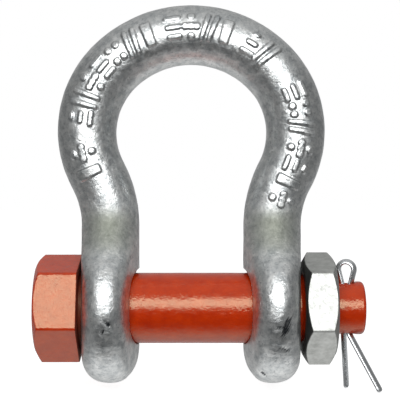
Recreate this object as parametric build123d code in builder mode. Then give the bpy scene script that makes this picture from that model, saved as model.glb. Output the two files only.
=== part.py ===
from build123d import *
import os
from math import acos, asin, cos, degrees, radians, sin, sqrt, tan

# Bow shackle with a bolt-type pin, 3/4 in size, in millimetres.
# Origin: on the bolt's axis, midway between the ears. +X runs along the bolt towards the nut,
# +Z is the line of pull, from the bolt up to the crown of the bow.

# Bow: a round bar bent to a pear shape, with a forged ear at each end
bar_diameter = 19.5
leg_offset = 26.9             # bar centreline to the middle plane, at the ears
widest_offset = 34.75         # bar centreline to the middle plane, where the bow is widest
widest_height = 58.7
crown_height = 91.0           # bar centreline at the top
throat_radius = 36.6          # centreline bend between a leg and the widest point
side_radius = 30.6            # centreline bend round the widest point

# Ears: oval sections stacked along the leg
ear_thickness = 19.2
ear_half_width = 23.2
ear_half_height = 25.4
ear_height = 0.6              # the holes sit a little high, so the bolt rests on their lower side
neck_radius = 28.0
bolt_hole_diameter = 25.0

# Bolt
shank_diameter = 23.4
thread_diameter = 22.0
dog_diameter = 17.6           # plain end beyond the thread, which the split pin goes through
head_across_flats = 31.5
head_inner_face = -36.7
head_height = 14.3
thread_start = 36.9
thread_end = 47.8
shoulder_chamfer = 0.8
thread_chamfer = 1.2
bolt_end = 57.3
end_chamfer = 1.2
head_turn = 16.7              # how far the hexagon is turned about the bolt's axis, degrees

# Nut
nut_across_flats = 32.7
nut_inner_face = 37.0
nut_height = 10.6
nut_turn = 17.8
nut_clearance = 0.04          # radial, between the thread and the nut

# Both hexagons
corner_easing = 0.15          # how much the six corners are rounded down
hex_chamfer_angle = 30.0
hex_face_ratio = 0.96         # diameter of the turned end face, as a share of the width across flats

# Split pin: one half-oval wire folded back on itself, flat side inwards
split_hole_offset = 51.7
split_hole_diameter = 5.6
split_sink_diameter = 7.2
wire_width = 4.0
wire_thickness = 1.7
eye_inner_radius = 1.85
eye_height = 12.8
eye_taper = 14.0              # slope of the eye's sides where they close towards the hole, degrees
eye_closing_radius = 12.0
leg_gap = 0.3
straight_leg_length = 18.9
straight_leg_lean = 3.0       # degrees, towards the bent leg
splay_angle = 28.7
splay_radius = 3.4
splay_start_height = -7.6     # where both legs start to bend, just inside the hole's mouth
splayed_leg_length = 21.2
split_pin_turn = -15.0        # the pin stands a little turned in its hole, degrees

bar_radius = bar_diameter / 2
throat_turn = degrees(acos(1 - (widest_offset - leg_offset) / (throat_radius + side_radius)))
leg_height = widest_height - (throat_radius + side_radius) * sin(radians(throat_turn))


def crown_arc():
    """The crown's bend radius, and the slope at which it meets the side bend, in degrees."""
    side_centre = widest_offset - side_radius
    rise = crown_height - widest_height
    radius = (rise**2 + side_centre**2 - side_radius**2) / (2 * (rise - side_radius))
    return radius, degrees(asin((crown_height - radius - widest_height) / (side_radius - radius)))


def neck_heights():
    """Where the neck's fillet leaves the ear's round outline, and where it meets the bar."""
    outer = ear_half_width + neck_radius
    reach = sqrt(outer**2 - (bar_radius + neck_radius) ** 2)
    return ear_height + reach * ear_half_width / outer, ear_height + reach


crown_radius, shoulder_angle = crown_arc()
neck_start, neck_end = neck_heights()


def bar_plane(distance):
    """Plane across the bar, at a distance along its centreline from the bolt's height."""
    if distance <= leg_height:
        return Plane((leg_offset, 0, distance), x_dir=(1, 0, 0), z_dir=(0, 0, 1))
    turn = (distance - leg_height) / throat_radius
    origin = (
        leg_offset + throat_radius * (1 - cos(turn)),
        0,
        leg_height + throat_radius * sin(turn),
    )
    return Plane(origin, x_dir=(cos(turn), 0, -sin(turn)), z_dir=(sin(turn), 0, cos(turn)))


def ear_section(distance):
    """Half-thickness and half-width of the ear's oval section."""
    end_round = ear_thickness / 2
    below_round = ear_height - ear_half_height + end_round - distance
    if below_round > 0:
        thickness = sqrt(end_round**2 - below_round**2)
    else:
        thickness = end_round + (bar_radius - end_round) * max(distance, 0) / neck_end
    if distance >= neck_start:
        width = bar_radius + neck_radius - sqrt(neck_radius**2 - (neck_end - distance) ** 2)
    elif distance >= ear_height:
        width = sqrt(ear_half_width**2 - (distance - ear_height) ** 2)
    else:
        width = ear_half_width * sqrt(1 - ((distance - ear_height) / ear_half_height) ** 2)
    return thickness, max(width, thickness * 1.0001)


def ear_stations():
    """Distances along the centreline at which the ear's sections lie, from its foot to the bar."""
    end_round = ear_thickness / 2
    round_centre = ear_height - ear_half_height + end_round
    foot = [round_centre - end_round * sin(radians(angle)) for angle in range(85, 0, -12)]
    body = [-11.0, -5.0, ear_height, 6.0, 11.0, 15.0]
    neck_steps = 6
    neck = [
        neck_start + (neck_end - neck_start) * step / neck_steps for step in range(neck_steps + 1)
    ]
    return foot + body + neck


def make_bow():
    with BuildPart() as ear:
        for distance in ear_stations():
            thickness, width = ear_section(distance)
            with BuildSketch(bar_plane(distance)):
                Ellipse(thickness, width)
        loft()
    bar_start = bar_plane(neck_end)
    rest_of_throat = throat_turn - degrees((neck_end - leg_height) / throat_radius)
    side_turn = throat_turn + shoulder_angle
    crown_turn = 180 - 2 * shoulder_angle
    with BuildPart() as bow:
        with BuildLine(Plane.XZ) as centreline:
            throat = JernArc(bar_start.origin, bar_start.z_dir, throat_radius, -rest_of_throat)
            side = JernArc(throat @ 1, throat % 1, side_radius, side_turn)
            crown = JernArc(side @ 1, side % 1, crown_radius, crown_turn)
            far_side = JernArc(crown @ 1, crown % 1, side_radius, side_turn)
            JernArc(far_side @ 1, far_side % 1, throat_radius, -rest_of_throat)
        with BuildSketch(bar_start):
            Ellipse(*ear_section(neck_end))
        sweep(path=centreline.wire())
        add(ear.part)
        mirror(ear.part, about=Plane.YZ)
        with BuildSketch(Plane.YZ):
            with Locations((0, ear_height)):
                Circle(bolt_hole_diameter / 2)
        extrude(amount=leg_offset + ear_thickness, both=True, mode=Mode.SUBTRACT)
    bow.part.label = "bow"
    export_step(bow.part, "parts/bow.step")


def hexagon_outline(start, end, across_flats, chamfered_ends):
    """Half profile of the turned shape that a hexagon is cut to, from its start face."""
    corner_radius = across_flats / sqrt(3) - corner_easing
    face_radius = across_flats / 2 * hex_face_ratio
    depth = (corner_radius - face_radius) * tan(radians(hex_chamfer_angle))
    outline = [(start, 0), (start, face_radius), (start + depth, corner_radius)]
    if chamfered_ends == 2:
        outline += [(end - depth, corner_radius), (end, face_radius)]
    else:
        outline += [(end, corner_radius)]
    return outline + [(end, 0)]


def make_bolt():
    head_outer_face = head_inner_face - head_height
    shank_radius = shank_diameter / 2
    thread_radius = thread_diameter / 2
    dog_radius = dog_diameter / 2
    with BuildPart() as bolt:
        with BuildSketch(Plane.YZ.offset(head_outer_face)):
            RegularPolygon(head_across_flats / 2, 6, major_radius=False, rotation=head_turn)
        extrude(amount=head_height)
        with BuildSketch(Plane.XZ):
            with BuildLine():
                Polyline(
                    *hexagon_outline(head_outer_face, head_inner_face, head_across_flats, 1),
                    close=True,
                )
            make_face()
        revolve(axis=Axis.X, mode=Mode.INTERSECT)
        with BuildSketch(Plane.XZ):
            with BuildLine():
                Polyline(
                    (head_inner_face - head_height / 2, 0),
                    (head_inner_face - head_height / 2, shank_radius),
                    (thread_start - shoulder_chamfer, shank_radius),
                    (thread_start, thread_radius),
                    (thread_end - thread_chamfer, thread_radius),
                    (thread_end, dog_radius),
                    (bolt_end - end_chamfer, dog_radius),
                    (bolt_end, dog_radius - end_chamfer),
                    (bolt_end, 0),
                    close=True,
                )
            make_face()
        revolve(axis=Axis.X)
        with Locations(
            Plane((split_hole_offset, 0, dog_radius)),
            Plane((split_hole_offset, 0, -dog_radius), z_dir=(0, 0, -1)),
        ):
            CounterSinkHole(split_hole_diameter / 2, split_sink_diameter / 2, depth=dog_diameter)
    bolt.part.label = "bolt"
    export_step(bolt.part, "parts/bolt.step")


def make_nut():
    nut_outer_face = nut_inner_face + nut_height
    with BuildPart() as nut:
        with BuildSketch(Plane.YZ.offset(nut_inner_face)):
            RegularPolygon(nut_across_flats / 2, 6, major_radius=False, rotation=nut_turn)
        extrude(amount=nut_height)
        with BuildSketch(Plane.XZ):
            with BuildLine():
                Polyline(
                    *hexagon_outline(nut_inner_face, nut_outer_face, nut_across_flats, 2),
                    close=True,
                )
            make_face()
        revolve(axis=Axis.X, mode=Mode.INTERSECT)
        with BuildSketch(Plane.YZ.offset(nut_inner_face)):
            Circle(thread_diameter / 2 + nut_clearance)
        extrude(amount=nut_height, mode=Mode.SUBTRACT)
    nut.part.label = "nut"
    export_step(nut.part, "parts/nut.step")


def split_pin_corners():
    """Where the eye's sides leave its round top, and where they turn into the legs."""
    taper = radians(eye_taper)
    side_x = eye_inner_radius * cos(taper)
    side_z = eye_height - eye_inner_radius * sin(taper)
    closing_run = eye_closing_radius * tan(taper / 2)
    corner_z = side_z - (side_x - leg_gap / 2) / tan(taper)
    leg_top = (leg_gap / 2, corner_z - closing_run)
    side_foot = (leg_gap / 2 + closing_run * sin(taper), corner_z + closing_run * cos(taper))
    return (side_x, side_z), side_foot, leg_top


def make_split_pin():
    turn = radians(split_pin_turn)
    pin_plane = Plane(
        (split_hole_offset, 0, 0),
        x_dir=(cos(turn), sin(turn), 0),
        z_dir=(sin(turn), -cos(turn), 0),
    )
    (side_x, side_z), (foot_x, foot_z), (leg_x, leg_z) = split_pin_corners()
    with BuildPart() as split_pin:
        with BuildLine(pin_plane) as wire_line:
            held_leg = Line((-leg_x, splay_start_height), (-leg_x, leg_z))
            JernArc(held_leg @ 1, held_leg % 1, eye_closing_radius, eye_taper)
            rising_side = Line((-foot_x, foot_z), (-side_x, side_z))
            eye_turn = -(180 + 2 * eye_taper)
            JernArc(rising_side @ 1, rising_side % 1, eye_inner_radius, eye_turn)
            falling_side = Line((side_x, side_z), (foot_x, foot_z))
            JernArc(falling_side @ 1, falling_side % 1, eye_closing_radius, eye_taper)
            bent_leg = Line((leg_x, leg_z), (leg_x, splay_start_height))
            splay = JernArc(bent_leg @ 1, bent_leg % 1, splay_radius, splay_angle)
            PolarLine(splay @ 1, splayed_leg_length, direction=splay % 1)
            lean = JernArc(held_leg @ 0, -(held_leg % 0), splay_radius, straight_leg_lean)
            straight_leg = PolarLine(lean @ 1, straight_leg_length, direction=lean % 1)
        with BuildSketch(Plane(straight_leg @ 1, x_dir=pin_plane.x_dir, z_dir=-(lean % 1))):
            Ellipse(wire_thickness, wire_width / 2)
            with Locations((wire_thickness, 0)):
                Rectangle(2 * wire_thickness, 2 * wire_width, mode=Mode.SUBTRACT)
        sweep(path=wire_line.wire())
    split_pin.part.label = "split_pin"
    export_step(split_pin.part, "parts/split_pin.step")


os.makedirs("parts", exist_ok=True)
make_bow()
make_bolt()
make_nut()
make_split_pin()
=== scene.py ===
import math

import bmesh
import bpy
import numpy as np
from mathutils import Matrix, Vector, noise


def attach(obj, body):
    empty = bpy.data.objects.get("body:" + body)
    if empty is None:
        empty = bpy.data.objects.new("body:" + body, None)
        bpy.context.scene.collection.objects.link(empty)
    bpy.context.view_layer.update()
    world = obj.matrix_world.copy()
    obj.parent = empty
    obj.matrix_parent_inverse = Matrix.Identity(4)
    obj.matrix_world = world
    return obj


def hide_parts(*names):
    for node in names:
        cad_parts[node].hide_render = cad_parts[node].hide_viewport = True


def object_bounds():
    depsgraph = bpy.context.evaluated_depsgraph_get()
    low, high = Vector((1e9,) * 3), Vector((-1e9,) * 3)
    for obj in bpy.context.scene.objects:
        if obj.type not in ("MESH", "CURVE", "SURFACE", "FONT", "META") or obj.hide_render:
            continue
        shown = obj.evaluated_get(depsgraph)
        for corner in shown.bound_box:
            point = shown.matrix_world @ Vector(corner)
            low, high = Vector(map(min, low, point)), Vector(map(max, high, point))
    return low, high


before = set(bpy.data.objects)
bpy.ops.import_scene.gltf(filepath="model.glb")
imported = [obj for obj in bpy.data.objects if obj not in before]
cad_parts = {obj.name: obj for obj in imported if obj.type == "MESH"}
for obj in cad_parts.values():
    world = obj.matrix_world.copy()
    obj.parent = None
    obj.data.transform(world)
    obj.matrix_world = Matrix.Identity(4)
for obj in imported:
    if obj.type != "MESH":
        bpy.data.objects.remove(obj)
cad_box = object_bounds()

# All shapes below are worked out in millimetres and written to meshes in metres.
MM = 0.001

# Bow: a round bar on tangent arcs, with an ear at each end
BAR_RADIUS = 9.75
CROWN_SWELL = 0.12            # the bar is a little thicker in the crown and thinner in the legs
LEG_SHRINK = 0.22
LEG_OFFSET = 26.9
WIDEST_OFFSET = 34.75
WIDEST_HEIGHT = 58.7
CROWN_HEIGHT = 91.0
THROAT_RADIUS = 36.6
SIDE_RADIUS = 30.6
EAR_HALF_THICKNESS = 9.6
EAR_HALF_WIDTH = 23.2
EAR_HALF_HEIGHT = 25.4
EAR_HEIGHT = 0.6
FOOT_ROUND = 13.0             # height over which the foot of an ear rounds off
FOOT_POWER = 2.25             # a little squarer than an ellipse, whose power is 2
EAR_NOSE_RADIUS = 7.15
EAR_NOSE_SHIFT = 0.75         # the ears' noses stand a little outside the holes' middles
NOSE_SHIFT_WIDENING = 8.0     # all of it where the ear is this much wider than thick,
NOSE_SHIFT_DEPTH = 13.0       # and this far in front of the middle or behind it
NECK_RADIUS = 28.0
BOLT_HOLE_RADIUS = 12.35
HOLE_EDGE_ROUND = 0.6
FORGING_LUMPS = [(0.07, 9.0, 3.1), (0.045, 3.2, 7.7), (0.022, 1.3, 1.3)]  # height, size, seed

NECK_SHADE_MIDDLE = 25.8            # the necks are dull, with painted shade on their fronts, centred at this height
NECK_SHADE_REACH = 7.0
MATT_REACH = 10.0             # and rough all round
MARK_RIM_DARK = 0.5                # how dark the zinc is round the marks' edges, and the painted shade in the bolt holes
BORE_SHADE = 0.85

# Raised marks on the front of the bow
MARKED_LENGTH = 80.0          # none stands further than this from the crown's top, along the bar
MARK_WIDTH = 4.0
MARK_HEIGHT = 7.6
MARK_LIFT = 0.5
MARK_STROKE = 0.56
MARK_EDGE = 0.4
DOT_SWELL = 0.7               # dots are fatter than strokes by this share of a stroke
MARK_MIDDLE = 1.5             # how far outside the bar's centreline the row of marks runs

# Bolt
SHANK_RADIUS = 11.7
THREAD_RADIUS = 11.0
DOG_RADIUS = 8.8
HEAD_INNER = -36.7
HEAD_OUTER = -51.0
HEAD_APOTHEM = 15.75
HEAD_TURN = 16.7
HEAD_FACE_SHARE = 0.955       # the flat end face's radius, as a share of the apothem
HEAD_CORNER_ROUND = 0.9
HEAD_EDGE_ROUND = 0.4
CHAMFER_ANGLE = math.radians(30.0)
THREAD_START = 36.9
THREAD_END = 47.8
THREAD_CHAMFER = 1.2
BOLT_END = 57.3
END_ROUND = 1.2
GAP_START = 33.0              # painted shade: the shank is darkened between these two distances from its middle
GAP_END = 36.95
PAINT_LUMPS = [(0.03, 5.0, 2.2), (0.012, 1.1, 5.2)]

# Nut
NUT_INNER = 37.0
NUT_OUTER = 47.6
NUT_APOTHEM = 16.35
NUT_TURN = 17.8
NUT_FACE_SHARE = 0.95
NUT_CORNER_ROUND = 0.5
NUT_BORE_RADIUS = 11.04
NUT_SINK = 0.6
INNER_SHADE = 0.85            # painted shade: how dark the nut is off its flats, towards the ear and away from it
OUTER_SHADE = 0.3

# Split pin
SPLIT_OFFSET = 51.7
SPLIT_HOLE_RADIUS = 2.8
SPLIT_SINK = 0.8
WIRE_HALF_WIDTH = 2.0
WIRE_THICKNESS = 1.7
WIRE_TIP_ROUND = 0.9
EYE_RADIUS = 1.85
EYE_HEIGHT = 12.8
EYE_TAPER = math.radians(14.0)
EYE_CLOSING_RADIUS = 12.0
LEG_GAP = 0.3
BEND_HEIGHT = -7.6
SPLAY_RADIUS = 3.4
SPLAY_ANGLE = math.radians(28.7)
SPLAYED_LENGTH = 21.2
LEAN_ANGLE = math.radians(3.0)
STRAIGHT_LENGTH = 18.9
SPLIT_TURN = math.radians(-15.0)


# ---------------------------------------------------------------- small helpers

def smooth_step(value):
    value = np.clip(value, 0.0, 1.0)
    return value * value * (3 - 2 * value)


def noise_field(points, size, seed=0.0):
    """Smooth noise from -1 to 1 at each point, with lumps about as large as size."""
    offset = Vector((seed, seed * 1.7, -seed))
    return np.array([noise.noise(Vector(point) / size + offset) for point in points])


def closed_mesh(points, faces, values):
    """A bmesh in millimetres with outward normals, and a float layer for each named list of values."""
    mesh = bmesh.new()
    for name in values:
        mesh.verts.layers.float.new(name)
    vertices = [mesh.verts.new(point) for point in points]
    for name, numbers in values.items():
        layer = mesh.verts.layers.float[name]
        for vertex, number in zip(vertices, numbers):
            vertex[layer] = number
    for face in faces:
        mesh.faces.new([vertices[index] for index in face])
    bmesh.ops.recalc_face_normals(mesh, faces=mesh.faces)
    return mesh


def place_piece(mesh, name, node, material):
    """Turn a bmesh in millimetres into a piece that replaces a node and rides on its body."""
    bmesh.ops.scale(mesh, vec=(MM, MM, MM), verts=mesh.verts)
    data = bpy.data.meshes.new(name)
    mesh.to_mesh(data)
    mesh.free()
    data.shade_smooth()
    data.materials.append(material)
    piece = bpy.data.objects.new(name, data)
    bpy.context.scene.collection.objects.link(piece)
    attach(piece, node)
    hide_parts(node)


def ring_faces(rings, columns, close_rings=False):
    """Quads between neighbouring closed rings of points."""
    faces = []
    last = rings if close_rings else rings - 1
    for ring in range(last):
        here = ring * columns
        there = ((ring + 1) % rings) * columns
        for column in range(columns):
            after = (column + 1) % columns
            faces.append((here + column, here + after, there + after, there + column))
    return faces


def capped_faces(rings, columns):
    """Quads between rings, and a fan over each end to its middle point.
    The two middle points come after all the rings' points."""
    faces = ring_faces(rings, columns)
    last = (rings - 1) * columns
    for column in range(columns):
        after = (column + 1) % columns
        faces.append((after, column, rings * columns))
        faces.append((last + column, last + after, rings * columns + 1))
    return faces


def grid_normals(points):
    """Unit normals of a grid of points (rings, columns, 3) that is closed along its columns."""
    along = np.gradient(points, axis=0)
    around = np.roll(points, -1, axis=1) - np.roll(points, 1, axis=1)
    normals = np.cross(around, along)
    lengths = np.linalg.norm(normals, axis=2, keepdims=True)
    return normals / np.maximum(lengths, 1e-9)


def boundary_loops(mesh):
    """The open edges of a bmesh, as a list of closed loops of edges."""
    open_edges = {edge for edge in mesh.edges if len(edge.link_faces) == 1}
    loops = []
    while open_edges:
        edge = open_edges.pop()
        loop = [edge]
        vertex = edge.verts[1]
        while True:
            following = [other for other in vertex.link_edges if other in open_edges]
            if not following:
                break
            edge = following[0]
            open_edges.discard(edge)
            loop.append(edge)
            vertex = edge.other_vert(vertex)
        loops.append(loop)
    return loops


def pierce(mesh, centre, axis, radius, edge_round, cell, reach):
    """Cut a round hole right through a closed bmesh, with rounded mouths.
    The mesh's points stand about a cell apart, and only those within reach along the axis are cut."""
    centre = Vector(centre)
    axis = Vector(axis)
    mouth = radius + edge_round

    def radial(vertex):
        offset = vertex.co - centre
        along = offset.dot(axis)
        return along, offset - along * axis

    def snap(vertex):
        along, across = radial(vertex)
        vertex.co = centre + along * axis + across.normalized() * mouth

    doomed = []
    for vertex in mesh.verts:
        along, across = radial(vertex)
        if abs(along) > reach:
            continue
        if abs(across.length - mouth) < 0.5 * cell:
            snap(vertex)
        elif across.length < mouth:
            doomed.append(vertex)
    bmesh.ops.delete(mesh, geom=doomed, context="VERTS")
    rims = []
    for loop in boundary_loops(mesh):
        rim = {vertex for edge in loop for vertex in edge.verts}
        for vertex in rim:
            snap(vertex)
        middle = sum(radial(vertex)[0] for vertex in rim) / len(rim)
        rims.append((middle, loop))
    rims.sort(key=lambda rim: rim[0])
    inner_edges = []
    steps = 5
    for (middle, loop), inward in zip(rims, (1, -1)):
        for step in range(steps):
            start = math.radians(90 * step / steps)
            end = math.radians(90 * (step + 1) / steps)
            grown = bmesh.ops.extrude_edge_only(mesh, edges=loop)["geom"]
            loop = [item for item in grown if isinstance(item, bmesh.types.BMEdge)]
            deeper = edge_round * (math.cos(start) - math.cos(end))
            narrower = mouth - edge_round * math.sin(end)
            for vertex in {vertex for edge in loop for vertex in edge.verts}:
                along, across = radial(vertex)
                along += inward * deeper
                vertex.co = centre + along * axis + across.normalized() * narrower
        inner_edges += loop
    bmesh.ops.bridge_loops(mesh, edges=inner_edges)
    bmesh.ops.recalc_face_normals(mesh, faces=mesh.faces)


# ---------------------------------------------------------------- bow

THROAT_TURN = math.acos(1 - (WIDEST_OFFSET - LEG_OFFSET) / (THROAT_RADIUS + SIDE_RADIUS))
LEG_HEIGHT = WIDEST_HEIGHT - (THROAT_RADIUS + SIDE_RADIUS) * math.sin(THROAT_TURN)
SIDE_CENTRE = WIDEST_OFFSET - SIDE_RADIUS
CROWN_RISE = CROWN_HEIGHT - WIDEST_HEIGHT
CROWN_RADIUS = (
    (CROWN_RISE**2 + SIDE_CENTRE**2 - SIDE_RADIUS**2) / (2 * (CROWN_RISE - SIDE_RADIUS))
)
CROWN_CENTRE = CROWN_HEIGHT - CROWN_RADIUS
SHOULDER_ANGLE = math.asin((CROWN_CENTRE - WIDEST_HEIGHT) / (SIDE_RADIUS - CROWN_RADIUS))
CROWN_LENGTH = CROWN_RADIUS * (math.pi / 2 - SHOULDER_ANGLE)
SIDE_LENGTH = SIDE_RADIUS * (SHOULDER_ANGLE + THROAT_TURN)
THROAT_LENGTH = THROAT_RADIUS * THROAT_TURN
LEG_START = CROWN_LENGTH + SIDE_LENGTH + THROAT_LENGTH
FOOT_HEIGHT = EAR_HEIGHT - EAR_HALF_HEIGHT
HALF_LENGTH = LEG_START + LEG_HEIGHT - FOOT_HEIGHT
NECK_REACH = math.sqrt(
    (EAR_HALF_WIDTH + NECK_RADIUS) ** 2 - (BAR_RADIUS + NECK_RADIUS) ** 2
)
NECK_START = EAR_HEIGHT + NECK_REACH * EAR_HALF_WIDTH / (EAR_HALF_WIDTH + NECK_RADIUS)
NECK_END = EAR_HEIGHT + NECK_REACH


def centreline(run):
    """Point and outward direction of the bar's centreline, for distances from the crown's top.
    Negative distances run down the left side and positive ones down the right."""
    along = np.abs(run)
    crown = math.pi / 2 - along / CROWN_RADIUS
    side = SHOULDER_ANGLE - (along - CROWN_LENGTH) / SIDE_RADIUS
    throat = -THROAT_TURN + (along - CROWN_LENGTH - SIDE_LENGTH) / THROAT_RADIUS
    stretches = [
        along < CROWN_LENGTH,
        along < CROWN_LENGTH + SIDE_LENGTH,
        along < LEG_START,
    ]
    angle = np.select(stretches, [crown, side, throat], 0.0)
    x = np.select(
        stretches,
        [
            CROWN_RADIUS * np.cos(crown),
            SIDE_CENTRE + SIDE_RADIUS * np.cos(side),
            LEG_OFFSET + THROAT_RADIUS * (1 - np.cos(throat)),
        ],
        LEG_OFFSET,
    )
    z = np.select(
        stretches,
        [
            CROWN_CENTRE + CROWN_RADIUS * np.sin(crown),
            WIDEST_HEIGHT + SIDE_RADIUS * np.sin(side),
            LEG_HEIGHT - THROAT_RADIUS * np.sin(throat),
        ],
        LEG_HEIGHT + LEG_START - along,
    )
    hand = np.where(run < 0, -1.0, 1.0)
    return hand * x, z, hand * np.cos(angle), np.sin(angle)


def bow_section(run):
    """Half-thickness, half-width and nose radius of the bow at a distance from the crown's top."""
    along = abs(run)
    distance = LEG_HEIGHT + LEG_START - along
    slimming = smooth_step((along - CROWN_LENGTH) / (LEG_START - CROWN_LENGTH))
    bar = BAR_RADIUS + CROWN_SWELL - (CROWN_SWELL + LEG_SHRINK) * slimming
    round_start = FOOT_HEIGHT + FOOT_ROUND
    if distance < round_start:
        depth = min((round_start - distance) / FOOT_ROUND, 1.0)
        thickness = EAR_HALF_THICKNESS * (1 - depth**FOOT_POWER) ** (1 / FOOT_POWER)
    else:
        to_bar = smooth_step(distance / NECK_END)
        thickness = EAR_HALF_THICKNESS + (bar - EAR_HALF_THICKNESS) * to_bar
    if distance >= NECK_END:
        return bar, bar, bar
    if distance >= NECK_START:
        swell = NECK_RADIUS - math.sqrt(NECK_RADIUS**2 - (NECK_END - distance) ** 2)
        width = thickness + swell * (EAR_HALF_WIDTH - thickness) / (EAR_HALF_WIDTH - BAR_RADIUS)
    elif distance >= EAR_HEIGHT:
        width = math.sqrt(EAR_HALF_WIDTH**2 - (distance - EAR_HEIGHT) ** 2)
    else:
        drop = min((EAR_HEIGHT - distance) / EAR_HALF_HEIGHT, 1.0)
        width = EAR_HALF_WIDTH * math.sqrt(1 - drop**2)
    flatness = smooth_step((width - thickness) / (EAR_HALF_WIDTH - EAR_HALF_THICKNESS))
    nose = thickness * (1 - flatness * (1 - EAR_NOSE_RADIUS / EAR_HALF_THICKNESS))
    return thickness, max(width, thickness), nose


def quarter_outline(thickness, width, nose, shares):
    """Points from the nose (0, width) to the flank (thickness, 0), at shares of the length.
    The outline is a round middle and a round nose joined by a straight taper."""
    reach = width - nose
    slope = math.asin(min((thickness - nose) / reach, 1.0)) if reach > 1e-6 else 0.0
    nose_angles = np.linspace(math.pi / 2, slope, 60)
    flank_angles = np.linspace(slope, 0.0, 16)
    x = np.concatenate([nose * np.cos(nose_angles), thickness * np.cos(flank_angles)])
    y = np.concatenate([reach + nose * np.sin(nose_angles), thickness * np.sin(flank_angles)])
    lengths = np.concatenate([[0.0], np.cumsum(np.hypot(np.diff(x), np.diff(y)))])
    wanted = shares * lengths[-1]
    return np.interp(wanted, lengths, x), np.interp(wanted, lengths, y)


def growing_shares(count, growth):
    """Shares from 0 to 1 whose steps grow steadily."""
    step = np.linspace(0.0, 1.0, count + 1)
    return step * (1 - growth) + step**2 * growth


FRONT_COLUMNS = 44
BACK_COLUMNS = 20
FRONT_SHARES = growing_shares(FRONT_COLUMNS, 0.35)
BACK_SHARES = growing_shares(BACK_COLUMNS, 0.0)


def bow_ring(run):
    """One closed ring of the bow: across the bar, and front to back, before it is placed."""
    section = bow_section(run)
    front_x, front_y = quarter_outline(*section, FRONT_SHARES)
    back_x, back_y = quarter_outline(*section, BACK_SHARES)
    across = np.concatenate([front_x[:-1], back_x[:0:-1], -back_x[:-1], -front_x[:0:-1]])
    depth = np.concatenate([-front_y[:-1], back_y[:0:-1], back_y[:-1], -front_y[:0:-1]])
    thickness, width, _ = section
    lean = EAR_NOSE_SHIFT * smooth_step((width - thickness) / NOSE_SHIFT_WIDENING)
    return across + lean * smooth_step(np.abs(depth) / NOSE_SHIFT_DEPTH), depth


def bow_stations():
    """Distances from the crown's top: close together where the marks are, then wider."""
    fine = np.arange(0.0, MARKED_LENGTH, 0.34)
    round_start = HALF_LENGTH - FOOT_ROUND
    leg = np.linspace(MARKED_LENGTH, round_start, 66)[:-1]
    turns = np.radians(np.linspace(0.0, 88.0, 30))
    foot = round_start + FOOT_ROUND * np.sin(turns)
    half = np.concatenate([fine, leg, foot])
    return np.concatenate([-half[:0:-1], half])


GLYPHS = {
    "cluster": [((x, y), (x, y)) for x, y in ((0, 0.42), (0, 0), (0, -0.42), (-0.45, 0), (0.45, 0))],
    "slants": [((-0.5, -0.5), (-0.15, 0.5)), ((0.15, -0.5), (0.5, 0.5))],
    "quad": [((x, y), (x, y)) for x in (-0.35, 0.35) for y in (-0.3, 0.3)],
    "rungs": [((-0.45, y), (0.45, y)) for y in (-0.4, 0, 0.4)],
    "posts": [((x, -0.5), (x, 0.5)) for x in (-0.4, 0.4)],
    "block": [((x, -0.42), (x, 0.42)) for x in (-0.2, 0, 0.2)],
    "stack": [((-0.5, -0.42), (0.5, -0.42)), ((-0.3, 0), (0.3, 0)), ((-0.1, 0.42), (0.1, 0.42))],
}

# Each row of marks: where its first mark stands, its spacing, and its marks
MARK_ROWS = [
    (-66.2, 6.4, ["block", "cluster"]),
    (-48.6, 5.8, ["stack", "posts", "cluster", "rungs", "quad", "slants", "block"]),
    (-5.6, 5.6, ["rungs", "cluster", "slants", "block"]),
    (20.0, 5.4, ["stack", "slants"]),
    (40.4, 5.6, ["rungs", "quad", "slants"]),
    (58.4, 5.6, ["cluster", "stack", "block"]),
    (76.0, 5.0, ["cluster"]),
]


def mark_relief(run, across):
    """Height of the raised marks at points given along and across the front of the bar."""
    relief = np.zeros_like(run)
    for start, spacing, names in MARK_ROWS:
        for index, name in enumerate(names):
            u = run - start - spacing * index
            v = across - MARK_MIDDLE
            near = (np.abs(u) < MARK_WIDTH) & (np.abs(v) < MARK_HEIGHT)
            if not near.any():
                continue
            u, v = u[near], v[near]
            distance = np.full(u.shape, 1e9)
            for (u0, v0), (u1, v1) in GLYPHS[name]:
                u0, u1 = u0 * MARK_WIDTH, u1 * MARK_WIDTH
                v0, v1 = v0 * MARK_HEIGHT, v1 * MARK_HEIGHT
                du, dv = u1 - u0, v1 - v0
                length = du * du + dv * dv
                share = 0.0
                if length > 0:
                    share = np.clip(((u - u0) * du + (v - v0) * dv) / length, 0, 1)
                gap = np.hypot(u - u0 - share * du, v - v0 - share * dv)
                if length == 0:
                    gap = gap - DOT_SWELL * MARK_STROKE
                distance = np.minimum(distance, gap)
            raised = MARK_LIFT * smooth_step(1 - (distance - MARK_STROKE) / MARK_EDGE)
            relief[near] = np.maximum(relief[near], raised)
    return relief


# Scuffed patches on the front of the ears: x, z, half-length, half-width, slant in degrees, cover
SCUFFS = [
    (-26.0, -2.8, 1.9, 1.0, 131, 1.0),
    (-27.7, -5.0, 1.6, 0.8, 60, 0.8),
    (30.1, -3.7, 4.8, 1.7, 65, 1.0),
    (28.2, -3.8, 2.2, 0.9, 15, 0.95),
    (28.9, -10.9, 2.6, 1.1, 165, 0.8),
    (23.4, -20.2, 1.8, 0.7, 139, 1.0),
]
SCUFF_DEPTH = 0.25


def scuff_cover(x, y, z):
    """How scuffed each point is, from 0 to 1."""
    cover = np.zeros_like(x)
    for mid_x, mid_z, long, short, slant, most in SCUFFS:
        turn = math.radians(slant)
        u = (x - mid_x) * math.cos(turn) + (z - mid_z) * math.sin(turn)
        v = -(x - mid_x) * math.sin(turn) + (z - mid_z) * math.cos(turn)
        patch = most * np.exp(-((u / long) ** 2) - (v / short) ** 2)
        cover = np.maximum(cover, np.where(y < 0, patch, 0.0))
    return cover


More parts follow.
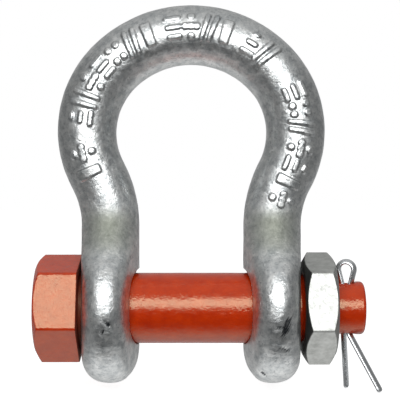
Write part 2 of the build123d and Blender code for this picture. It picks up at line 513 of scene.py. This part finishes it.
def make_bow(material):
    runs = bow_stations()
    x, z, out_x, out_z = centreline(runs)
    rings = [bow_ring(run) for run in runs]
    across = np.array([ring[0] for ring in rings])
    depth = np.array([ring[1] for ring in rings])
    points = np.stack(
        [x[:, None] + across * out_x[:, None], depth, z[:, None] + across * out_z[:, None]], axis=2
    )
    normals = -grid_normals(points)
    front = np.clip(-normals[..., 1], 0.0, 1.0)
    relief = mark_relief(np.repeat(runs[:, None], across.shape[1], axis=1), across)
    relief *= smooth_step((front - 0.25) / 0.2)  # the marks fade out before the flanks
    # the zinc is darker round the marks' edges
    rim = 4 * (relief / MARK_LIFT) * (1 - relief / MARK_LIFT)
    flat = points.reshape(-1, 3)
    lumps = sum(height * noise_field(flat, size, seed) for height, size, seed in FORGING_LUMPS)
    scuffs = scuff_cover(points[..., 0], points[..., 1], points[..., 2])
    raised = relief + lumps.reshape(across.shape) - SCUFF_DEPTH * scuffs
    points = points + normals * raised[..., None]
    above_neck = points[..., 2] - NECK_SHADE_MIDDLE
    # painted shade: the fronts of the necks are darkened, to dim their highlight
    painted_neck_shade = np.exp(-((above_neck / NECK_SHADE_REACH) ** 4)) * front**2
    matt = np.exp(-((above_neck / MATT_REACH) ** 4))
    values = {"rim_dark_and_bore_shade": MARK_RIM_DARK * rim, "painted_neck_shade": painted_neck_shade, "matt": matt, "scuff": scuffs}

    feet = [[-LEG_OFFSET, 0, FOOT_HEIGHT], [LEG_OFFSET, 0, FOOT_HEIGHT]]
    mesh = closed_mesh(
        np.concatenate([points.reshape(-1, 3), feet]),
        capped_faces(*across.shape),
        {name: np.append(grid, [0, 0]) for name, grid in values.items()},
    )
    rim_dark_and_bore_shade = mesh.verts.layers.float["rim_dark_and_bore_shade"]
    for side in (-1, 1):
        pierce(
            mesh, (side * LEG_OFFSET, 0, EAR_HEIGHT), (1, 0, 0),
            BOLT_HOLE_RADIUS, HOLE_EDGE_ROUND, cell=0.7, reach=EAR_HALF_THICKNESS + 2,
        )
        # painted shade: the bores of the bolt holes are darkened
        for vertex in mesh.verts:
            off_axis = math.hypot(vertex.co.y, vertex.co.z - EAR_HEIGHT)
            if side * vertex.co.x > 0 and off_axis < BOLT_HOLE_RADIUS + 0.3 * HOLE_EDGE_ROUND:
                vertex[rim_dark_and_bore_shade] = BORE_SHADE
    place_piece(mesh, "forged_bow", "bow", material)


# ---------------------------------------------------------------- bolt and nut

COLUMNS = 288                 # points in each ring of the bolt and the nut
CONE_OVERRUN = 1.12           # how far past the hexagon's corners a chamfer's cone is followed


def hexagon_radius(apothem, turn, corner_round):
    """Distance from the axis to a hexagon with rounded corners, for each column's direction."""
    directions = np.linspace(0, 2 * math.pi, COLUMNS, endpoint=False)
    from_corner = (directions - math.radians(turn) + math.pi / 6) % (math.pi / 3) - math.pi / 6
    flat = apothem / np.cos(math.pi / 6 - np.abs(from_corner))
    centre = (apothem - corner_round) / math.cos(math.pi / 6)
    touch = math.pi / 6 - math.atan2(centre * math.sin(math.pi / 6), apothem)
    inside = np.maximum(corner_round**2 - (centre * np.sin(from_corner)) ** 2, 0.0)
    rounded = centre * np.cos(from_corner) + np.sqrt(inside)
    return np.where(np.abs(from_corner) < touch, rounded, flat)


def soft_min(first, second, softness):
    """The smaller of two values, with the crease between them rounded."""
    blend = np.clip(0.5 + 0.5 * (second - first) / softness, 0.0, 1.0)
    return second * (1 - blend) + first * blend - softness * blend * (1 - blend)


def ring_at(x, radius):
    """A round ring of points: its place along the axis, and its radius in every direction."""
    return x, np.full(COLUMNS, radius)


def chamfer_rings(face_x, inward, hexagon, face_radius):
    """Rings from a turned end face down its cone-shaped chamfer to just past the corners."""
    slope = math.tan(CHAMFER_ANGLE)
    deepest = (hexagon.max() - face_radius) * slope * CONE_OVERRUN
    rings = []
    for depth in np.linspace(0.0, deepest, 16):
        cone = np.full(COLUMNS, face_radius + depth / slope)
        rings.append((face_x + inward * depth, soft_min(hexagon, cone, 0.25)))
    return rings


def edge_rings(face_x, hexagon, edge_round):
    """Rings round a plain edge, from the hexagon's side into an end face that looks along +X."""
    rings = []
    for angle in np.radians(np.linspace(0, 90, 5)):
        x = face_x - edge_round * (1 - math.sin(angle))
        rings.append((x, hexagon - edge_round * (1 - math.cos(angle))))
    return rings


def lathe_points(rings):
    """The points of rings round the X axis, each given as its place and its radii."""
    directions = np.linspace(0, 2 * math.pi, COLUMNS, endpoint=False)
    places = np.array([np.full(COLUMNS, x) for x, radii in rings])
    radii = np.array([radii for x, radii in rings])
    return np.stack([places, radii * np.cos(directions), radii * np.sin(directions)], axis=2)


def make_bolt(material):
    hexagon = hexagon_radius(HEAD_APOTHEM, HEAD_TURN, HEAD_CORNER_ROUND)
    face_radius = HEAD_APOTHEM * HEAD_FACE_SHARE
    rings = [ring_at(HEAD_OUTER, face_radius * share) for share in (0.25, 0.5, 0.75, 0.95)]
    rings += chamfer_rings(HEAD_OUTER, 1, hexagon, face_radius)
    sides = np.linspace(rings[-1][0], HEAD_INNER - 0.5, 24)[1:-1]
    rings += [(x, hexagon) for x in sides]
    rings += edge_rings(HEAD_INNER, hexagon, HEAD_EDGE_ROUND)
    under_head = hexagon - HEAD_EDGE_ROUND
    for share in (0.25, 0.6, 0.9, 1.0):
        rings.append((HEAD_INNER, under_head * (1 - share) + SHANK_RADIUS * share))
    shank = np.linspace(HEAD_INNER + 0.3, THREAD_START - 1.0, 130)
    rings += [ring_at(x, SHANK_RADIUS) for x in shank]
    rings += [
        ring_at(THREAD_START - 0.7, SHANK_RADIUS - 0.1),
        ring_at(THREAD_START, THREAD_RADIUS),
        ring_at(THREAD_END - THREAD_CHAMFER, THREAD_RADIUS),
        ring_at(THREAD_END - 0.1, DOG_RADIUS + 0.3),
    ]
    rings += [ring_at(x, DOG_RADIUS) for x in np.linspace(THREAD_END, BOLT_END - 1.3, 30)]
    for angle in np.radians(np.linspace(15, 90, 6)):
        x = BOLT_END - END_ROUND * (1 - math.sin(angle))
        rings.append(ring_at(x, DOG_RADIUS - 0.9 * END_ROUND * (1 - math.cos(angle))))
    rings += [ring_at(BOLT_END, (DOG_RADIUS - 1.1) * share) for share in (0.9, 0.7, 0.45, 0.2)]
    points = lathe_points(rings)
    flat = points.reshape(-1, 3)
    skin = sum(height * noise_field(flat, size, seed) for height, size, seed in PAINT_LUMPS)
    points = points - grid_normals(points) * skin.reshape(points.shape[:2])[..., None]
    ends = [[HEAD_OUTER, 0, 0], [BOLT_END, 0, 0]]
    flat = np.concatenate([points.reshape(-1, 3), ends])
    mesh = closed_mesh(flat, capped_faces(len(rings), COLUMNS), {})
    pierce(
        mesh, (SPLIT_OFFSET, 0, 0), (0, 0, 1),
        SPLIT_HOLE_RADIUS, SPLIT_SINK, cell=0.3, reach=DOG_RADIUS + 2,
    )
    place_piece(mesh, "painted_bolt", "bolt", material)


def make_nut(material):
    hexagon = hexagon_radius(NUT_APOTHEM, NUT_TURN, NUT_CORNER_ROUND)
    face_radius = NUT_APOTHEM * NUT_FACE_SHARE
    mouth = NUT_BORE_RADIUS + NUT_SINK
    face_radii = [mouth * (1 - share) + face_radius * share for share in (0.0, 0.3, 0.65, 0.95)]
    rings = [ring_at(NUT_INNER, radius) for radius in face_radii]
    rings += chamfer_rings(NUT_INNER, 1, hexagon, face_radius)
    outer_chamfer = chamfer_rings(NUT_OUTER, -1, hexagon, face_radius)[::-1]
    rings += [(x, hexagon) for x in np.linspace(rings[-1][0], outer_chamfer[0][0], 16)[1:-1]]
    rings += outer_chamfer
    rings += [ring_at(NUT_OUTER, radius) for radius in face_radii[::-1]]
    bore = np.linspace(NUT_OUTER - NUT_SINK, NUT_INNER + NUT_SINK, 12)
    rings += [ring_at(x, NUT_BORE_RADIUS) for x in bore]
    points = lathe_points(rings)
    # painted shade on the nut's chamfers and end faces, darkest towards the ear
    off_flats = np.array([smooth_step((hexagon - radii - 0.02) / 0.12) for x, radii in rings])
    inner_end = points[..., 0] < (NUT_INNER + NUT_OUTER) / 2
    painted_shade = off_flats * np.where(inner_end, INNER_SHADE, OUTER_SHADE)
    faces = ring_faces(len(rings), COLUMNS, close_rings=True)
    mesh = closed_mesh(points.reshape(-1, 3), faces, {"painted_shade": painted_shade.reshape(-1)})
    place_piece(mesh, "plated_nut", "nut", material)


# ---------------------------------------------------------------- split pin

def arc_points(centre, radius, start, end):
    """Points on an arc, about a third of a millimetre apart."""
    count = max(4, int(abs(end - start) * radius / 0.3))
    angles = np.linspace(start, end, count)
    return [(centre[0] + radius * math.cos(a), centre[1] + radius * math.sin(a)) for a in angles]


def bend(point, heading, radius, turn):
    """Points on a bend that starts at a point and a heading, with the heading it ends on."""
    side = 1 if turn > 0 else -1
    centre = (
        point[0] - side * radius * math.sin(heading),
        point[1] + side * radius * math.cos(heading),
    )
    start = heading - side * math.pi / 2
    return arc_points(centre, radius, start, start + turn), heading + turn


def ahead(point, heading, length):
    return (point[0] + length * math.cos(heading), point[1] + length * math.sin(heading))


def run_straight(point, heading, length):
    count = max(2, int(length / 0.4))
    return [ahead(point, heading, length * step / count) for step in range(1, count + 1)]


def split_pin_path():
    """The wire's inner flat face as a line in its own plane, from tip to tip."""
    side_x = EYE_RADIUS * math.cos(EYE_TAPER)
    side_z = EYE_HEIGHT - EYE_RADIUS * math.sin(EYE_TAPER)
    closing = EYE_CLOSING_RADIUS * math.tan(EYE_TAPER / 2)
    corner_z = side_z - (side_x - LEG_GAP / 2) / math.tan(EYE_TAPER)
    side_length = (side_z - corner_z) / math.cos(EYE_TAPER) - closing
    leg_top = corner_z - closing
    up, down = math.pi / 2, -math.pi / 2

    straight, heading = bend((-LEG_GAP / 2, BEND_HEIGHT), down, SPLAY_RADIUS, LEAN_ANGLE)
    straight += run_straight(straight[-1], heading, STRAIGHT_LENGTH)
    path = straight[::-1]
    path += run_straight((-LEG_GAP / 2, BEND_HEIGHT), up, leg_top - BEND_HEIGHT)
    turned, heading = bend(path[-1], up, EYE_CLOSING_RADIUS, EYE_TAPER)
    path += turned[1:]
    path += run_straight(path[-1], heading, side_length)
    turned, heading = bend(path[-1], heading, EYE_RADIUS, -(math.pi + 2 * EYE_TAPER))
    path += turned[1:]
    path += run_straight(path[-1], heading, side_length)
    turned, heading = bend(path[-1], heading, EYE_CLOSING_RADIUS, EYE_TAPER)
    path += turned[1:]
    path += run_straight(path[-1], heading, leg_top - BEND_HEIGHT)
    turned, heading = bend(path[-1], heading, SPLAY_RADIUS, SPLAY_ANGLE)
    path += turned[1:]
    path += run_straight(path[-1], heading, SPLAYED_LENGTH)
    return np.array(path)


def wire_section():
    """Half-oval section with eased corners: outwards from the flat face, and across it."""
    easing = 0.3
    angles = np.linspace(-math.pi / 2, math.pi / 2, 22)
    outward = easing + (WIRE_THICKNESS - easing) * np.cos(angles)
    across = WIRE_HALF_WIDTH * np.sin(angles)
    inner_across = np.linspace(WIRE_HALF_WIDTH - easing, -(WIRE_HALF_WIDTH - easing), 7)
    return (
        np.concatenate([outward, np.zeros(7)]),
        np.concatenate([across, inner_across]),
    )


def make_split_pin(material):
    path = split_pin_path()
    tangent = np.gradient(path, axis=0)
    tangent /= np.linalg.norm(tangent, axis=1)[:, None]
    outward = np.stack([-tangent[:, 1], tangent[:, 0]], axis=1)
    run = np.concatenate([[0], np.cumsum(np.linalg.norm(np.diff(path, axis=0), axis=1))])
    from_tip = np.minimum(run, run[-1] - run)
    taper = 0.55 + 0.45 * np.sqrt(1 - np.maximum(1 - from_tip / WIRE_TIP_ROUND, 0) ** 2)
    out, across = wire_section()
    turn_x, turn_y = math.cos(SPLIT_TURN), math.sin(SPLIT_TURN)
    rings = []
    for point, side, size in zip(path, outward, taper):
        middle = WIRE_THICKNESS / 2
        reach = middle + (out - middle) * size
        flat_x = point[0] + side[0] * reach
        flat_z = point[1] + side[1] * reach
        deep = across * size
        x = SPLIT_OFFSET + flat_x * turn_x - deep * turn_y
        y = flat_x * turn_y + deep * turn_x
        rings.append(np.stack([x, y, flat_z], axis=1))
    points = np.array(rings)
    ends = [points[0].mean(axis=0), points[-1].mean(axis=0)]
    flat = np.concatenate([points.reshape(-1, 3), ends])
    mesh = closed_mesh(flat, capped_faces(*points.shape[:2]), {})
    place_piece(mesh, "cotter_wire", "split_pin", material)


# ---------------------------------------------------------------- materials

def new_material(name):
    material = bpy.data.materials.new(name)
    material.use_nodes = True
    tree = material.node_tree
    shader = tree.nodes["Principled BSDF"]
    return material, tree, shader


def object_coordinates(tree):
    return tree.nodes.new("ShaderNodeTexCoord").outputs["Object"]


def noise_node(tree, coordinates, size_mm, detail=2.0, roughness=0.5):
    node = tree.nodes.new("ShaderNodeTexNoise")
    node.inputs["Scale"].default_value = 1.0 / (size_mm * MM)
    node.inputs["Detail"].default_value = detail
    node.inputs["Roughness"].default_value = roughness
    tree.links.new(coordinates, node.inputs["Vector"])
    return node.outputs["Fac"]


def ramp_node(tree, value, stops):
    node = tree.nodes.new("ShaderNodeValToRGB")
    ramp = node.color_ramp
    while len(ramp.elements) < len(stops):
        ramp.elements.new(0.5)
    for element, (place, colour) in zip(ramp.elements, stops):
        element.position = place
        element.color = (*colour, 1.0) if hasattr(colour, "__len__") else (colour, colour, colour, 1.0)
    tree.links.new(value, node.inputs["Fac"])
    return node.outputs["Color"]


def bump_node(tree, height, distance_mm, strength, before=None):
    node = tree.nodes.new("ShaderNodeBump")
    node.inputs["Distance"].default_value = distance_mm * MM
    node.inputs["Strength"].default_value = strength
    tree.links.new(height, node.inputs["Height"])
    if before is not None:
        tree.links.new(before, node.inputs["Normal"])
    return node.outputs["Normal"]


def math_node(tree, operation, *values):
    """The result of a sum on values that are each a socket or a number."""
    node = tree.nodes.new("ShaderNodeMath")
    node.operation = operation
    for socket, value in zip(node.inputs, values):
        if hasattr(value, "is_linked"):
            tree.links.new(value, socket)
        else:
            socket.default_value = value
    return node.outputs[0]


def mix_colours(tree, factor, first, second):
    """A blend of two colours, each given as a socket or as three numbers."""
    node = tree.nodes.new("ShaderNodeMix")
    node.data_type = "RGBA"
    # A mix node has sockets for each type of data: 6 and 7 take its colours, and 2 gives the result
    tree.links.new(factor, node.inputs[0])
    for value, socket in ((first, node.inputs[6]), (second, node.inputs[7])):
        if hasattr(value, "is_linked"):
            tree.links.new(value, socket)
        else:
            socket.default_value = (*value, 1.0)
    return node.outputs[2]


def attribute_node(tree, name):
    node = tree.nodes.new("ShaderNodeAttribute")
    node.attribute_name = name
    return node.outputs["Fac"]


def scratch_noise(tree, place, slant, length_mm, width_mm):
    """Noise drawn out along a slant across the front of the ears."""
    turned = tree.nodes.new("ShaderNodeMapping")
    turned.vector_type = "TEXTURE"
    turned.inputs["Rotation"].default_value = (0.0, -math.radians(slant), 0.0)
    turned.inputs["Scale"].default_value = (1.0, 1.0, width_mm / length_mm)
    tree.links.new(place, turned.inputs["Vector"])
    return noise_node(tree, turned.outputs["Vector"], length_mm, 3.0, 0.6)


def galvanised_material():
    material, tree, shader = new_material("hot_dip_zinc")
    place = object_coordinates(tree)
    cloud = ramp_node(
        tree, noise_node(tree, place, 2.6, 6.0, 0.75),
        [(0.34, (0.43, 0.455, 0.465)), (0.48, (0.61, 0.63, 0.63)), (0.64, (0.80, 0.81, 0.80))],
    )
    specks = ramp_node(tree, noise_node(tree, place, 0.9, 2.0, 0.6), [(0.30, 0.45), (0.42, 1.0)])
    speckled = mix_colours(tree, math_node(tree, "SUBTRACT", 1.0, specks), cloud, (0.28, 0.30, 0.31))
    # painted shade on the fronts of the necks
    skin = math_node(tree, "MULTIPLY", attribute_node(tree, "painted_neck_shade"), 0.95)
    neck_shaded = mix_colours(tree, skin, speckled, (0.245, 0.259, 0.213))
    steep = scratch_noise(tree, place, slant=64, length_mm=7.0, width_mm=0.5)
    gentle = scratch_noise(tree, place, slant=46, length_mm=5.5, width_mm=0.45)
    scratches = math_node(tree, "MAXIMUM", steep, gentle)
    scuffed = math_node(tree, "MULTIPLY_ADD", attribute_node(tree, "scuff"), 0.40, scratches)
    gouges = ramp_node(tree, scuffed, [(0.76, 0.0), (0.90, 1.0)])
    # real scuffs and scratches, darker zinc round the marks, and painted shade in the bolt holes
    scuffs_rims_and_bore_shade = math_node(tree, "MAXIMUM", attribute_node(tree, "rim_dark_and_bore_shade"), gouges)
    colour = mix_colours(tree, scuffs_rims_and_bore_shade, neck_shaded, (0.06, 0.065, 0.072))
    tree.links.new(colour, shader.inputs["Base Color"])
    shader.inputs["Metallic"].default_value = 1.0
    rough = ramp_node(tree, noise_node(tree, place, 1.6, 3.0, 0.6), [(0.3, 0.31), (0.7, 0.44)])
    rougher = math_node(tree, "MULTIPLY_ADD", attribute_node(tree, "matt"), 0.28, rough)
    tree.links.new(rougher, shader.inputs["Roughness"])
    waves = bump_node(tree, noise_node(tree, place, 2.4, 2.0, 0.5), 0.21, 0.8)
    pits = bump_node(tree, noise_node(tree, place, 0.9, 3.0, 0.65), 0.13, 0.8, waves)
    tree.links.new(pits, shader.inputs["Normal"])
    return material


def paint_material():
    material, tree, shader = new_material("orange_paint")
    place = object_coordinates(tree)
    paint = ramp_node(
        tree, noise_node(tree, place, 4.0, 4.0, 0.6),
        [(0.3, (0.40, 0.019, 0.001)), (0.55, (0.47, 0.027, 0.001)), (0.8, (0.53, 0.038, 0.002))],
    )
    split = tree.nodes.new("ShaderNodeSeparateXYZ")
    tree.links.new(place, split.inputs[0])
    outside = math_node(tree, "ABSOLUTE", split.outputs[0])
    after_ear = math_node(tree, "GREATER_THAN", outside, GAP_START * MM)
    before_end = math_node(tree, "LESS_THAN", outside, GAP_END * MM)
    in_gap = math_node(tree, "MULTIPLY", after_ear, before_end)
    # The gap by the head gets darker painted shade, and duller paint, than the one by the nut
    by_head = math_node(tree, "LESS_THAN", split.outputs[0], 0.0)
    strength = math_node(tree, "MULTIPLY_ADD", by_head, 0.35, 0.32)
    # painted shadow in the gaps between the ears and the head and the nut
    painted_shade = math_node(tree, "MULTIPLY", in_gap, strength)
    colour = mix_colours(tree, painted_shade, paint, (0.025, 0.006, 0.004))
    tree.links.new(colour, shader.inputs["Base Color"])
    shader.inputs["Specular IOR Level"].default_value = 0.72
    shader.inputs["Specular Tint"].default_value = (1.0, 1.0, 0.68, 1.0)
    rough = ramp_node(tree, noise_node(tree, place, 0.8, 2.0, 0.5), [(0.42, 0.10), (0.62, 0.25)])
    dusty = math_node(tree, "MULTIPLY", in_gap, math_node(tree, "MULTIPLY", by_head, 0.4))
    tree.links.new(math_node(tree, "ADD", rough, dusty), shader.inputs["Roughness"])
    ripple = bump_node(tree, noise_node(tree, place, 1.8, 3.0, 0.6), 0.15, 0.8)
    peel = bump_node(tree, noise_node(tree, place, 0.7, 2.0, 0.6), 0.11, 0.8, ripple)
    tree.links.new(peel, shader.inputs["Normal"])
    return material


def plated_material():
    material, tree, shader = new_material("plated_zinc")
    place = object_coordinates(tree)
    cloud = ramp_node(
        tree, noise_node(tree, place, 3.0, 4.0, 0.65),
        [(0.3, (0.44, 0.45, 0.43)), (0.55, (0.56, 0.57, 0.55)), (0.72, (0.63, 0.64, 0.62))],
    )
    # painted shade off the nut's flats
    colour = mix_colours(tree, attribute_node(tree, "painted_shade"), cloud, (0.03, 0.03, 0.028))
    tree.links.new(colour, shader.inputs["Base Color"])
    shader.inputs["Metallic"].default_value = 1.0
    rough = ramp_node(tree, noise_node(tree, place, 1.2, 3.0, 0.6), [(0.3, 0.46), (0.7, 0.60)])
    tree.links.new(rough, shader.inputs["Roughness"])
    waves = bump_node(tree, noise_node(tree, place, 3.5, 2.0, 0.5), 0.08, 0.6)
    grain = bump_node(tree, noise_node(tree, place, 0.7, 3.0, 0.6), 0.05, 0.7, waves)
    tree.links.new(grain, shader.inputs["Normal"])
    return material


def wire_material():
    material, tree, shader = new_material("bright_wire")
    place = object_coordinates(tree)
    colour = ramp_node(
        tree, noise_node(tree, place, 1.5, 3.0, 0.6),
        [(0.3, (0.66, 0.69, 0.71)), (0.7, (0.84, 0.86, 0.87))],
    )
    tree.links.new(colour, shader.inputs["Base Color"])
    shader.inputs["Metallic"].default_value = 1.0
    rough = ramp_node(tree, noise_node(tree, place, 0.8, 2.0, 0.5), [(0.3, 0.18), (0.7, 0.32)])
    tree.links.new(rough, shader.inputs["Roughness"])
    grain = bump_node(tree, noise_node(tree, place, 0.4, 2.0, 0.5), 0.01, 0.4)
    tree.links.new(grain, shader.inputs["Normal"])
    return material


# ---------------------------------------------------------------- stage, light and camera

VIEW_HEIGHT = 0.036           # metres, of the camera and of the point that the light faces
FLOOR_GAP = 0.0003            # metres between the floor and the lowest point


def make_floor():
    """A pale floor that glows a little, like a lit table. It shows shadows but lights nothing."""
    floor_height = cad_box[0][2] - FLOOR_GAP
    bpy.ops.mesh.primitive_plane_add(size=12.0, location=(0, 0, floor_height))
    floor = bpy.context.object
    floor.name = "floor"
    material, tree, shader = new_material("pale_floor")
    shader.inputs["Base Color"].default_value = (0.86, 0.86, 0.86, 1.0)
    shader.inputs["Roughness"].default_value = 1.0
    shader.inputs["Specular IOR Level"].default_value = 0.0
    shader.inputs["Emission Color"].default_value = (1.0, 1.0, 1.0, 1.0)
    shader.inputs["Emission Strength"].default_value = FLOOR_GLOW
    floor.data.materials.append(material)
    floor.visible_glossy = False
    floor.visible_diffuse = False
    floor.visible_shadow = False


def make_softbox(name, azimuth, elevation, distance, width, height, power):
    """A rectangular light that faces the middle of the bow. Azimuth 0 is the camera's side."""
    turn, lift = math.radians(azimuth), math.radians(elevation)
    target = Vector((0.0, 0.0, VIEW_HEIGHT))
    direction = Vector(
        (math.sin(turn) * math.cos(lift), -math.cos(turn) * math.cos(lift), math.sin(lift))
    )
    light = bpy.data.lights.new(name, "AREA")
    light.shape = "RECTANGLE"
    light.size = width
    light.size_y = height
    light.energy = power
    lamp = bpy.data.objects.new(name, light)
    lamp.location = target + direction * distance
    lamp.rotation_euler = direction.to_track_quat("Z", "Y").to_euler()
    bpy.context.scene.collection.objects.link(lamp)


# Brightness of the studio round the shackle, by the angle up from the camera's direction:
# 90 is overhead, 180 is behind the shackle and -90 is underneath
STUDIO = [
    (-180, 0.44), (-145, 0.64), (-120, 0.79), (-98, 1.16), (-82, 0.90), (-66, 0.32), (-52, 0.07),
    (-35, 0.04), (-14, 0.08), (5, 0.30), (30, 0.42), (60, 0.54), (80, 0.56), (100, 0.50),
    (125, 0.46), (180, 0.44),
]
STUDIO_SIDES = 0.20           # and towards its two sides
SIDES_START = 0.45            # how sideways a direction is where the sides begin to show,
SIDES_END = 0.92              # and where nothing else does
FLOOR_GLOW = 0.68


def make_world():
    world = bpy.data.worlds.new("studio")
    bpy.context.scene.world = world
    world.use_nodes = True
    tree = world.node_tree
    tree.nodes.clear()
    direction = tree.nodes.new("ShaderNodeTexCoord").outputs["Generated"]
    split = tree.nodes.new("ShaderNodeSeparateXYZ")
    tree.links.new(direction, split.inputs[0])
    x, y, z = split.outputs
    towards_camera = math_node(tree, "MULTIPLY", y, -1.0)
    angle = math_node(tree, "ARCTAN2", z, towards_camera)
    share = math_node(tree, "MULTIPLY_ADD", angle, 0.5 / math.pi, 0.5)
    ring = ramp_node(tree, share, [((degrees + 180) / 360, level) for degrees, level in STUDIO])
    sideways = math_node(tree, "ABSOLUTE", x)
    to_sides = tree.nodes.new("ShaderNodeMapRange")
    to_sides.interpolation_type = "SMOOTHSTEP"
    to_sides.inputs["From Min"].default_value = SIDES_START
    to_sides.inputs["From Max"].default_value = SIDES_END
    tree.links.new(sideways, to_sides.inputs["Value"])
    shade = mix_colours(tree, to_sides.outputs[0], ring, (STUDIO_SIDES,) * 3)
    output = tree.nodes.new("ShaderNodeOutputWorld")
    seen = tree.nodes.new("ShaderNodeBackground")
    seen.inputs["Color"].default_value = (1, 1, 1, 1)
    around = tree.nodes.new("ShaderNodeBackground")
    tree.links.new(shade, around.inputs["Color"])
    path = tree.nodes.new("ShaderNodeLightPath")
    mix = tree.nodes.new("ShaderNodeMixShader")
    tree.links.new(path.outputs["Is Camera Ray"], mix.inputs["Fac"])
    tree.links.new(around.outputs[0], mix.inputs[1])
    tree.links.new(seen.outputs[0], mix.inputs[2])
    tree.links.new(mix.outputs[0], output.inputs["Surface"])


def make_camera():
    """Straight at the bow's flat side, level, a little to the right of its middle plane."""
    distance = 0.350
    to_the_right = 0.0029
    view_width = 0.1336
    data = bpy.data.cameras.new("camera")
    data.sensor_width = 36.0
    data.lens = data.sensor_width * distance / view_width
    camera = bpy.data.objects.new("camera", data)
    camera.location = (to_the_right, -distance, VIEW_HEIGHT)
    camera.rotation_euler = (math.radians(90), 0, 0)
    bpy.context.scene.collection.objects.link(camera)
    bpy.context.scene.camera = camera


make_camera()
make_bow(galvanised_material())
make_bolt(paint_material())
make_nut(plated_material())
make_split_pin(wire_material())
make_floor()
make_world()
make_softbox(
    "key_box", azimuth=0, elevation=19, distance=0.90, width=0.85, height=0.48, power=7.2
)
bpy.context.scene.view_settings.view_transform = "Standard"
